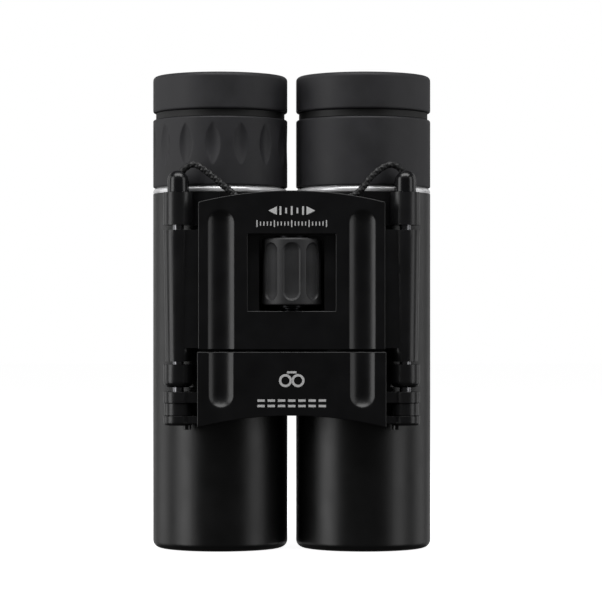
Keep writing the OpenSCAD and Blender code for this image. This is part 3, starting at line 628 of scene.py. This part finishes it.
def soften(outline, size, least_turn=30):
    """(r, z, round) corners: a round of the given size where the outline turns by more
    than least_turn degrees, and none on the points of an arc."""
    before, after = outline - np.roll(outline, 1, 0), np.roll(outline, -1, 0) - outline
    turn = np.abs((np.degrees(np.arctan2(after[:, 1], after[:, 0])
                              - np.arctan2(before[:, 1], before[:, 0])) + 180) % 360 - 180)
    return np.column_stack([outline, np.where(turn > least_turn, size, 0)])


def turn_again(node, centre, body, material, size):
    """Make a turned node again, smooth and with rounded corners, in its place."""
    outline = rounded(soften(outline_of(node, centre), size))
    piece = turned(f"{node}_turned", outline, centre, body, material)
    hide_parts(node)


# %% Turn the eyepieces, the cells and the pins
for side in SIDES:
    at = axis_of[side]
    ocular = "left_ocular" if side == "left" else "right_barrel"
    turn_again(f"{side}_ocular_body", at, f"{side}_barrel", cell_black, 0.12)
    turn_again(f"{side}_ocular_cell", at, ocular, cell_black, 0.15)
    turn_again(f"{side}_eyecup", at, f"{side}_cup", grip_rubber, 0.3)
    turn_again(f"{side}_eyecup_sleeve", at, f"{side}_cup", cell_black, 0.1)
    turn_again(f"{side}_objective_cell", at, f"{side}_objective", cell_black, 0.1)
    turn_again(f"{side}_objective_retainer", at, f"{side}_objective", retainer_black, 0.25)
turn_again("eyepiece_ring", axis_of["right"], "right_barrel", grip_rubber, 0.35)
print("turned the eyepieces and the cells")


# %% Lenses
OBJECTIVE_SAG = 1.6
EYE_SAG = 1


def lens(node, body, material, sag_low, sag_high):
    """A lens of the node's size: two caps of spheres, z = top - (R - sqrt(R^2 - r^2)) with
    R from the cap's height and the lens's radius, and a ground edge between them."""
    side = node.split("_")[0]
    foot, top = low(node)[2], high(node)[2]
    edge_r = (high(node) - low(node))[0] / 2
    r = edge_r * np.sin(np.linspace(0, np.pi / 2, 24))
    outline = []
    for sag, z, way in ((sag_high, top, -1), (sag_low, foot, 1)):
        ball = (edge_r ** 2 + sag ** 2) / (2 * sag) if sag else np.inf
        drop = ball - np.sqrt(ball ** 2 - r ** 2) if sag else 0 * r
        outline.append(np.column_stack([r, z + way * drop])[::way * -1])
    piece = turned(f"{node}_glass", np.concatenate(outline), axis_of[side], body, material,
                   merge=True)
    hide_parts(node)


for side in SIDES:
    lens(f"{side}_objective_lens", f"{side}_objective", objective_glass,
         OBJECTIVE_SAG, 0)
    lens(f"{side}_eye_lens", "left_ocular" if side == "left" else "right_barrel", lens_glass,
         0, EYE_SAG)
print("ground the lenses")


# %% [markdown]
# ## Barrels
# A barrel is a drawn tube with a satin black coat, closed in a little at its foot and with
# a broad round there. A slot in its side lets the focus arm reach the objective inside.

# %% Barrel tubes
WALL = 1.3
FOOT_ROUND = 1.8
LIP_IN = 1.3
LIP_HEIGHT = 3
SLOT_WIDE, SLOT_LOW, SLOT_HIGH = 3.6, 27.55, 35.15


def cut_away(piece, corners):
    """Take a box, given by its eight corners, out of a piece for good."""
    box = bpy.data.meshes.new("cutter")
    box.from_pydata((np.array(corners) * MM).tolist(), [],
                    [(0, 2, 3, 1), (4, 5, 7, 6), (0, 1, 5, 4), (2, 6, 7, 3), (0, 4, 6, 2),
                     (1, 3, 7, 5)])
    cutter = bpy.data.objects.new("cutter", box)
    bpy.context.scene.collection.objects.link(cutter)
    cut = piece.modifiers.new("cut", "BOOLEAN")
    cut.operation = "DIFFERENCE"
    cut.object = cutter
    bpy.context.view_layer.update()
    graph = bpy.context.evaluated_depsgraph_get()
    whole = piece.data
    piece.data = bpy.data.meshes.new_from_object(piece.evaluated_get(graph))
    piece.modifiers.remove(cut)
    bpy.data.meshes.remove(whole)
    bpy.data.objects.remove(cutter)
    bpy.data.meshes.remove(box)


def barrel_tube(side):
    """The tube's outline: the foot's round is a quarter circle about (R - f, f)."""
    quarter = np.radians(np.linspace(-90, 0, 10))
    foot = np.column_stack([barrel_r - FOOT_ROUND + FOOT_ROUND * np.cos(quarter),
                            FOOT_ROUND + FOOT_ROUND * np.sin(quarter), 0 * quarter])
    bore = barrel_r - WALL
    outline = np.concatenate([foot, [[barrel_r, tube_top, 0.12], [bore, tube_top, 0.1],
                                     [bore, LIP_HEIGHT, 0.1], [bore - LIP_IN, LIP_HEIGHT, 0.25],
                                     [bore - LIP_IN, 0, 0.35]]])
    tube = turned(f"{side}_tube", rounded(outline), axis_of[side], f"{side}_barrel",
                  barrel_coat, segments=192)
    tube.modifiers.clear()
    to_hinge = hinge_of[side] - axis_of[side]
    along = to_hinge / np.linalg.norm(to_hinge)
    across = np.array([-along[1], along[0]]) * SLOT_WIDE / 2
    corners = [[*(axis_of[side] + along * r + across * w), z]
               for r in (bore - 1, barrel_r + 1) for w in (-1, 1) for z in (SLOT_LOW, SLOT_HIGH)]
    cut_away(tube, corners)
    finish_piece(tube, f"{side}_barrel", barrel_coat)
    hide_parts(f"{side}_barrel_tube")


for side in SIDES:
    barrel_tube(side)
print(f"drew the tubes, {2 * barrel_r:.0f} mm by {tube_top:.1f} mm")

# %% [markdown]
# A bright ring marks the joint between tube and eyepiece. It is turned with a crown, so
# that it mirrors a broad stretch of the room and reads as one bright line. Its near-white
# base colour adds a painted reflection, which keeps it bright where the dim room gives
# little to mirror.

# %% Bright rings
TRIM_WALL = 1.4
CROWN_WIDE, CROWN_HIGH = 1.25, 1.02
CROWN_IN, CROWN_UP = 1.3, 0.45  # the crown's centre, in from the wall and up from the foot

for side in SIDES:
    ring = f"{side}_trim_ring"
    foot, top = low(ring)[2], high(ring)[2]
    crown = np.radians(np.linspace(-20, 62, 12))
    belly = np.column_stack([barrel_r - CROWN_IN + CROWN_WIDE * np.cos(crown),
                             foot + CROWN_UP + CROWN_HIGH * np.sin(crown), 0 * crown])
    inner = barrel_r - TRIM_WALL
    outline = np.concatenate([[[inner, foot, 0], [belly[0, 0], foot, 0.1]], belly,
                              [[belly[-1, 0], top, 0.05], [inner, top, 0]]])
    piece = turned(f"{side}_bright_ring", rounded(outline), axis_of[side], f"{side}_barrel",
                   trim_chrome, segments=192)
    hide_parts(ring)

# %% [markdown]
# ## Dioptre ring
# The left eyepiece has a ring of soft rubber that turns to match the two eyes. Fifteen
# scoops round it give the fingers a hold. Its outer wall is one grid of angle and height,
# and the scoops are taken from its radius, so their edges stay crisp and nothing is cut.

# %% Dioptre ring with its scoops
SCOOPS = 15
SCOOP_W, SCOOP_H, SCOOP_DEPTH = 3.6, 10.2, 0.6


def dioptre_ring():
    """Outer radius = R - depth (1 - (s / w)^2) (w / W)^1.2 inside a scoop, where s is the
    arc from the scoop's middle, w its half width at that height, between two arcs that
    meet in points, and W the half width in its middle."""
    foot, top = low("dioptre_ring")[2], high("dioptre_ring")[2]
    inner = barrel_r - TRIM_WALL
    round_size = 0.35
    curve = np.linspace(0, np.pi / 2, 6)
    z = np.concatenate([foot + round_size * (1 - np.cos(curve)),
                        np.linspace(foot + round_size, top - round_size, 84)[1:-1],
                        top - round_size * (1 - np.cos(curve[::-1]))])
    inset = np.concatenate([round_size * (1 - np.sin(curve)), np.zeros(82),
                            round_size * (1 - np.sin(curve[::-1]))])
    angle = np.linspace(0, 2 * np.pi, 30 * SCOOPS, endpoint=False)[:, None]
    pitch = 2 * np.pi / SCOOPS
    first = -np.pi / 2 - 0.2 * pitch
    s = barrel_r * ((angle - first + pitch / 2) % pitch - pitch / 2)
    arc_r = (SCOOP_H ** 2 + SCOOP_W ** 2) / (4 * SCOOP_W)
    middle_z = (foot + top) / 2 + 1.7
    half = np.sqrt(np.maximum(arc_r ** 2 - (z - middle_z) ** 2, 0)) - (arc_r - SCOOP_W / 2)
    half = np.maximum(half, 1e-6)[None]
    scoop = SCOOP_DEPTH * np.maximum(1 - (s / half) ** 2, 0) * (2 * half / SCOOP_W) ** 1.2
    r = barrel_r - inset[None] - scoop
    r = np.concatenate([r, np.full((len(angle), 2), inner)], axis=1)
    z = np.concatenate([z, [top, foot]])
    points = np.stack([axis_of["left"][0] + r * np.cos(angle),
                       axis_of["left"][1] + r * np.sin(angle), z[None] + 0 * angle], axis=-1)
    piece = add_piece("dioptre_grip", points, grid_quads(*r.shape), "dioptre", grip_rubber,
                      sharp=24)
    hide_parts("dioptre_ring")


dioptre_ring()
print(f"dioptre ring with {SCOOPS} scoops")

# %% [markdown]
# ## Focus wheel
# The wheel is a hard rubber tyre on a hub. Eight long flutes with round ends are moulded
# into it: each has a short steep wall and a hollow floor, which shows as a dark line and
# two soft lights.

# %% Wheel with its flutes
FLUTES = 8
FLUTE_SPAN = 34  # degrees
TYRE_FULLER = 0.3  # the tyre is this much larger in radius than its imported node
FLUTE_END = 1.05
WALL_DEPTH, FLOOR_DEPTH = 0.3, 0.42
WALL_SLOPE = 0.28


def focus_wheel():
    """Radius = R - wall step - hollow: u is the distance from the flute's middle line,
    the step is a smooth rise over WALL_SLOPE and the hollow is 1 - (u / half width)^2."""
    foot, top = low("focus_wheel")[2], high("focus_wheel")[2]
    wheel_r = (high("focus_wheel") - low("focus_wheel"))[0] / 2 + TYRE_FULLER
    hub_r = (high("wheel_hub") - low("wheel_hub"))[0] / 2
    curve = np.linspace(0, np.pi / 2, 6)
    low_round, top_round = 0.35, 0.5
    middle_rows = np.linspace(foot + low_round, top - top_round, 110)[1:-1]
    z = np.concatenate([foot + low_round * (1 - np.cos(curve)), middle_rows,
                        top - top_round * (1 - np.cos(curve[::-1]))])
    inset = np.concatenate([low_round * (1 - np.sin(curve)), 0 * middle_rows,
                            top_round * (1 - np.sin(curve[::-1]))])
    angle = np.linspace(0, 2 * np.pi, 40 * FLUTES, endpoint=False)[:, None]
    pitch = 2 * np.pi / FLUTES
    s = wheel_r * ((angle + np.pi / 2 + pitch / 2) % pitch - pitch / 2)
    half = wheel_r * math.radians(FLUTE_SPAN / 2)
    beyond = np.maximum(np.maximum(foot + FLUTE_END + half - z, z - top + FLUTE_END + half), 0)
    u = np.hypot(s, beyond[None])
    r = (wheel_r - inset[None] - WALL_DEPTH * step(half - u, 0, WALL_SLOPE)
         - FLOOR_DEPTH * np.maximum(1 - (u / half) ** 2, 0))
    r = np.concatenate([r, np.full((len(angle), 2), hub_r + 0.01)], axis=1)
    z = np.concatenate([z, [top, foot]])
    points = np.stack([wheel_axis[0] + r * np.cos(angle), wheel_axis[1] + r * np.sin(angle),
                       z[None] + 0 * angle], axis=-1)
    piece = add_piece("focus_tyre", points, grid_quads(*r.shape), "focus_drive", wheel_rubber,
                      sharp=40)
    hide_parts("focus_wheel")


# %% Focus screw with its thread
THREAD_PITCH = 0.9
THREAD_DEPTH = 0.38
SCREW_R, COLLAR_R, SPINDLE_R, JOURNAL_R = 2.4, 3.2, 1.5, 1.4
COLLAR_H = 0.6


def focus_screw():
    """Below the wheel the spindle is threaded: radius = R - depth |2 frac(z / pitch -
    angle / turn) - 1|, a helix that fades out at both ends. The rest is stepped."""
    foot = low("focus_screw")[2]
    top = high("focus_screw")[2]
    wheel_foot, wheel_top = low("focus_wheel")[2], high("focus_wheel")[2]
    collar_z = wheel_foot - COLLAR_H
    threaded = np.arange(foot + 0.4, collar_z, THREAD_PITCH / 10)
    z = np.concatenate([[foot, foot], threaded,
                        [collar_z, collar_z + 0.1, wheel_foot - 0.1, wheel_foot, wheel_foot,
                         wheel_top, wheel_top, top - 0.2, top, top]])
    base = np.concatenate([[0, SCREW_R - 0.4], np.full(len(threaded), SCREW_R),
                           [COLLAR_R - 0.1, COLLAR_R, COLLAR_R, COLLAR_R - 0.1, SPINDLE_R,
                            SPINDLE_R, JOURNAL_R, JOURNAL_R, JOURNAL_R - 0.2, 0]])
    angle = np.linspace(0, 2 * np.pi, 72, endpoint=False)[:, None]
    saw = np.abs(2 * ((z / THREAD_PITCH - angle / (2 * np.pi)) % 1) - 1)
    fade = step(z, foot + 0.3, foot + 1.5) * (1 - step(z, collar_z - 1, collar_z - 0.3))
    is_thread = (base == SCREW_R)[None]
    r = base[None] - np.where(is_thread, THREAD_DEPTH * saw * fade[None], 0)
    points = np.stack([wheel_axis[0] + r * np.cos(angle), wheel_axis[1] + r * np.sin(angle),
                       z[None] + 0 * angle], axis=-1)
    piece = add_piece("focus_spindle", points, grid_quads(*r.shape, True, False), "focus_drive",
                      black_steel, sharp=30, merge=True)
    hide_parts("focus_screw")


focus_wheel()
focus_screw()
print(f"focus wheel with {FLUTES} flutes")

# %% [markdown]
# ## Hinge pins
# The two pins are ground steel. They show only in the slits between the knuckles.

# %% Pins
for side in SIDES:
    pin = f"{side}_hinge_pin"
    foot, top = low(pin)[2], high(pin)[2]
    pin_r = (high(pin) - low(pin))[0] / 2
    piece = turned(f"{side}_pin", rounded([[0, foot, 0], [pin_r, foot, 0.3], [pin_r, top, 0.3],
                                           [0, top, 0]]), hinge_of[side], "bridge", pin_steel,
                   segments=64, merge=True)
    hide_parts(pin)

# %% [markdown]
# ## Bridge castings
# The frames, brackets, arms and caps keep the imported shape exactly. A copy of each mesh
# has its flats made whole and its edges broken with a small bevel, as a moulded part has.

# %% Frames, brackets, arms and caps
dressed("bridge_frame", "bridge", frame_plastic, 0.28)
dressed("low_frame", "lower_bridge", frame_plastic, 0.28)
for side in SIDES:
    dressed(f"{side}_hinge_bracket", f"{side}_barrel", bracket_coat, 0.25)
    dressed(f"{side}_focus_arm", f"{side}_objective", bracket_coat, 0.15)
    dressed(f"{side}_strap_cap", "bridge", cap_coat, 0.12)
print("dressed the castings")

# %% [markdown]
# ## Covers
# The two covers are glossy black mouldings with arched ends and a pair of finger channels
# that run through both. A cover's face is a height field: rows run across, the rows at an
# arched end bend with it, and the depth at each point is that of a round-bottomed channel.
# The sheet is then given a back and walls, so it is a closed moulding.

# %% A cover from a height field
CHANNEL_X = 16.3
CHANNEL_DEPTH = 1.1
CREASE = 0.14  # softness of a channel's edge
ARCH_R = 89
WINDOW_HALF = 10.15


def channel_depth(x, z, wide, low_end, high_end):
    """Depth of a channel whose section is an arc and whose ends are round: with u the
    distance from its middle line, a = sqrt(R^2 - u^2) - (R - depth), and the crease at
    the rim is rounded off by (a + sqrt(a^2 + crease^2)) / 2."""
    arc_r = (wide ** 2 / 4 + CHANNEL_DEPTH ** 2) / (2 * CHANNEL_DEPTH)
    beyond = np.maximum(np.maximum(low_end - z, z - high_end), 0)
    u = np.hypot(np.abs(x) - CHANNEL_X, beyond)
    a = np.sqrt(np.maximum(arc_r ** 2 - u ** 2, 0)) - (arc_r - CHANNEL_DEPTH)
    return (a + np.sqrt(a ** 2 + CREASE ** 2)) / 2


def across_lines(half, window_half, wide):
    """Places of the columns from the middle to the side, close together in a channel."""
    stops = [(0, window_half, 8), (window_half, CHANNEL_X - wide / 2 - 0.4, 6),
             (CHANNEL_X - wide / 2 - 0.4, CHANNEL_X + wide / 2 + 0.4, 40),
             (CHANNEL_X + wide / 2 + 0.4, half, 4)]
    right = np.concatenate([np.linspace(a, b, n, endpoint=False) for a, b, n in stops] + [[half]])
    return np.concatenate([-right[:0:-1], right])


def cover(node, body, half, wide, bands, ends, window=None):
    """A cover: bands are (lowest z, highest z, rows) from the foot up, each a number or
    a value for every column; ends are the channels' ends; window is (half width, band)."""
    face, back = low(node)[1], high(node)[1]
    x = across_lines(half, window[0] if window else WINDOW_HALF, wide)
    rows = [a + (b - a) * t for a, b, n in bands for t in np.linspace(0, 1, n, endpoint=False)]
    z = np.stack([r + 0 * x for r in rows + [bands[-1][1]]])
    grid_x = np.broadcast_to(x, z.shape)
    y = face + channel_depth(grid_x, z, wide, *ends)
    front = np.stack([grid_x, y, z], axis=-1).reshape(-1, 3)
    quads = grid_quads(*z.shape, False, False)
    if window:
        first = sum(b[2] for b in bands[:window[1]])
        middle_of = front[quads].mean(axis=1)
        row = quads[:, 0] // z.shape[1]
        hole = (np.abs(middle_of[:, 0]) < window[0]) & (row >= first)
        hole &= row < first + bands[window[1]][2]
        quads = quads[~hole]
    quads = quads[:, ::-1]  # rows go up and columns go to +X, so this order faces -Y
    behind = front * [1, 0, 1] + [0, back, 0]
    count = len(front)
    sides = np.concatenate([quads[:, [k, (k + 1) % 4]] for k in range(4)])
    reverse = set(map(tuple, sides[:, ::-1].tolist()))
    rim = np.array([e for e in sides.tolist() if tuple(e) not in reverse])
    walls = np.column_stack([rim[:, 1], rim[:, 0], rim[:, 0] + count, rim[:, 1] + count])
    faces = np.concatenate([quads, quads[:, ::-1] + count, walls])
    used, faces = np.unique(faces, return_inverse=True)
    points = np.concatenate([front, behind])[used]
    piece = add_piece(f"{node}_shell", points, faces.reshape(-1, 4).tolist(), body,
                      cover_plastic, sharp=60)
    edge = piece.modifiers.new("edge", "BEVEL")
    edge.width = 0.28 * MM
    edge.segments = 3
    edge.limit_method = "ANGLE"
    edge.angle_limit = math.radians(60)
    piece.modifiers.move(1, 0)
    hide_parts(node)


def arch(x, crown):
    """Height of an arched end whose crown is at the middle."""
    return crown - ARCH_R + np.sqrt(ARCH_R ** 2 - x ** 2)


# %% The two covers
WINDOW_UNDER, WINDOW_OVER = 1.4, 0.9  # the window reaches past the wheel's ends
CHANNEL_FROM_TOP, CHANNEL_FROM_CROWN = 4.5, 1.9
STRAIGHT_ABOVE = 39.5  # rows of the lower cover are level from here up
NO_END = 200  # a channel that runs out of the cover
wheel_foot, wheel_head = low("focus_wheel")[2], high("focus_wheel")[2]
window_low, window_high = wheel_foot - WINDOW_UNDER, wheel_head + WINDOW_OVER
upper_half = high("bridge_cover")[0]
upper_wide, lower_wide = 6.05, 5.65
upper_top = high("bridge_cover")[2]
x = across_lines(upper_half, WINDOW_HALF, upper_wide)
cover("bridge_cover", "bridge", upper_half, upper_wide,
      [(low("bridge_cover")[2], window_low, 14), (window_low, window_high, 24),
       (window_high, arch(x, upper_top), 46)],
      (0, upper_top - CHANNEL_FROM_TOP - upper_wide / 2), (WINDOW_HALF, 1))
lower_half = high("low_cover")[0]
lower_crown = 32.0
x = across_lines(lower_half, WINDOW_HALF, lower_wide)
cover("low_cover", "lower_bridge", lower_half, lower_wide,
      [(np.maximum(arch(x, lower_crown), low("low_cover")[2]), STRAIGHT_ABOVE, 44),
       (STRAIGHT_ABOVE, high("low_cover")[2], 10)],
      (lower_crown + CHANNEL_FROM_CROWN + lower_wide / 2, NO_END))
print(f"covers {2 * upper_half:.1f} mm wide")


# %% [markdown]
# ## Print
# A row of marks is pad-printed above the window and below the split. They are plain signs:
# two arrows for near and far, a scale of ticks, and a pair of rings. Each mark is a thin
# prism that stands 0.03 mm proud of the cover, as a layer of ink does.

# %% Print the marks
INK = 0.03
QUARTER_STEPS = 11


def print_marks(name, shapes, body):
    """Prisms from closed outlines of (x, z), counter-clockwise from the front."""
    points, faces = [], []
    for shape in shapes:
        shape = np.asarray(shape, float)
        n, start = len(shape), len(points)
        for y in (face_y - INK, face_y + 0.02):
            points += [[px, y, pz] for px, pz in shape]
        faces.append(list(range(start, start + n)))
        faces.append(list(range(start + 2 * n - 1, start + n - 1, -1)))
        faces += [[start + (k + 1) % n, start + k, start + n + k, start + n + (k + 1) % n]
                  for k in range(n)]
    add_piece(name, points, faces, body, print_ink)


def bar(x, z, w, h):
    return [[x - w / 2, z - h / 2], [x + w / 2, z - h / 2], [x + w / 2, z + h / 2],
            [x - w / 2, z + h / 2]]


def arrow(x, z, way, size):
    points = [[x - way * size / 2, z - size / 2], [x + way * size / 2, z],
              [x - way * size / 2, z + size / 2]]
    return points if way > 0 else points[::-1]


def ring_marks(x, z, outer, inner):
    """A flat ring as quarters of an annulus, so that each is one outline."""
    shapes = []
    for k in range(4):
        a = np.linspace(k, k + 1, QUARTER_STEPS) * np.pi / 2
        out = np.column_stack([x + outer * np.cos(a), z + outer * np.sin(a)])
        back = np.column_stack([x + inner * np.cos(a), z + inner * np.sin(a)])[::-1]
        shapes.append(np.concatenate([out, back]))
    return shapes


tick_z = window_high + 2.35
arrow_z = tick_z + 3.0
upper_marks = [arrow(-4.4, arrow_z, -1, 2.0), arrow(4.4, arrow_z, 1, 2.0)]
upper_marks += [bar(1.3 * k, arrow_z, 0.42, 2.0 if k % 2 == 0 else 1.3) for k in range(-2, 3)]
upper_marks += [bar(0.8 * k, tick_z, 0.26, 1.6 if k % 5 == 0 else 0.95) for k in range(-10, 11)]
print_marks("focus_marks", upper_marks, "bridge")
rings_z = low("low_cover")[2] + 10.7
bar_z = rings_z - 4.6
lower_marks = ring_marks(-1.45, rings_z, 1.5, 0.95) + ring_marks(1.45, rings_z, 1.5, 0.95)
lower_marks += [bar(0, rings_z + 1.9, 2.2, 0.5)]
lower_marks += [bar(2.35 * k, bar_z, 1.7, 0.55) for k in range(-3, 4)]
lower_marks += [bar(2.35 * k, bar_z - 1.25, 1.7, 0.55) for k in range(-3, 4)]
print_marks("sign_marks", lower_marks, "lower_bridge")
print(f"{len(upper_marks) + len(lower_marks)} printed marks")

# %% [markdown]
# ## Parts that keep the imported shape
# Screws, prisms, the hub and the nut are hidden or already right, so they only get their
# finish.

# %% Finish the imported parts
KEPT = {
    "cover_screws": pin_steel, "low_screws": pin_steel, "focus_bush": black_steel,
    "thrust_washer": black_steel, "wheel_hub": frame_plastic, "focus_nut": bearing_brass,
}
for side in SIDES:
    KEPT[f"{side}_prism_cage"] = cell_black
    KEPT[f"{side}_lower_prism"] = KEPT[f"{side}_roof_prism"] = prism_glass
    KEPT[f"{side}_field_lens"] = lens_glass
for node, material in KEPT.items():
    nodes[node].data.materials.clear()
    nodes[node].data.materials.append(material)
